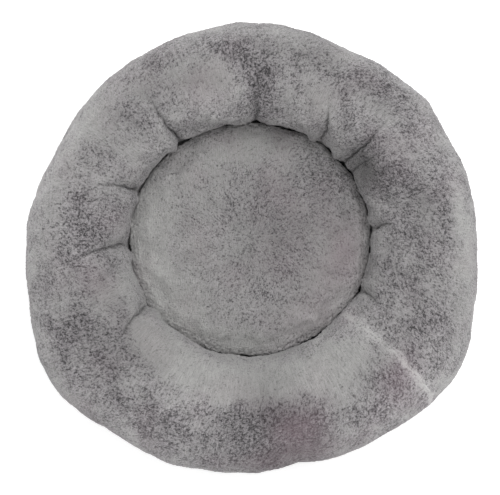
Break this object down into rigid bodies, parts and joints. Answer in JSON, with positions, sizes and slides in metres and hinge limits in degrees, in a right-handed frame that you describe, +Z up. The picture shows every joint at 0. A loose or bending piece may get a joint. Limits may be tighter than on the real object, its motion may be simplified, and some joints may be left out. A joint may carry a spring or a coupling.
{
  "type": "pet cushion bed",
  "caption": "Round plush pet bed: a stuffed ring with a loose round cushion in its well and a hidden coil zip round the back.",
  "frame": {"origin": "on the floor under the middle of the bed", "axes": "+Z up, +Y towards the middle of the zip at the back, +X to the right as seen from the front"},
  "size_m": [0.6, 0.5999, 0.17],
  "materials": {
    "plush": "short grey plush, brushed unevenly",
    "bag_cloth": "thin white non-woven cloth",
    "fibre_filling": "loose white polyester fibre",
    "base_cloth": "coated plain-weave cloth",
    "lining_cloth": "plain-weave lining cloth",
    "piping_cloth": "bias-cut cloth over cord",
    "grip_rubber": "moulded matt dots",
    "label_cloth": "smooth satin ribbon, blank",
    "zip_tape": "herringbone tape",
    "zip_coil": "nylon coil",
    "zip_metal": "dull nickel plate"
  },
  "bodies": {
    "bolster": {"bolster_cover": "plush", "bolster_bag": "bag_cloth", "bolster_filling": "fibre_filling", "base_sheet": "base_cloth", "base_rim": "base_cloth", "well_floor": "lining_cloth", "inner_welt": "lining_cloth", "rim_piping": "piping_cloth", "grip_dots": "grip_rubber", "care_label": "label_cloth", "zip_tape_upper": "zip_tape", "zip_tape_lower": "zip_tape", "zip_coil_upper": "zip_coil", "zip_coil_lower": "zip_coil", "zip_end_stops": "zip_metal"},
    "slider": {"zip_slider": "zip_metal"},
    "pull_tab": {"zip_pull_tab": "zip_metal"},
    "cushion": {"cushion_top_panel": "plush", "cushion_bottom_panel": "lining_cloth", "cushion_filling": "fibre_filling", "cushion_piping": "piping_cloth"}
  },
  "joints": [
    {"name": "cushion_lift", "type": "slide", "parent": "bolster", "child": "cushion", "axis": [0, 0, 1], "range_m": [0, 0.22]},
    {"name": "zip_travel", "type": "hinge", "parent": "bolster", "child": "slider", "pos_m": [0, 0, 0.027], "axis": [0, 0, -1], "range_deg": [0, 144.8]},
    {"name": "pull_tab_swing", "type": "hinge", "parent": "slider", "child": "pull_tab", "pos_m": [-0.27095, 0.08595, 0.02468], "axis": [0.3024, 0.9532, 0], "range_deg": [-20, 145]}
  ]
}
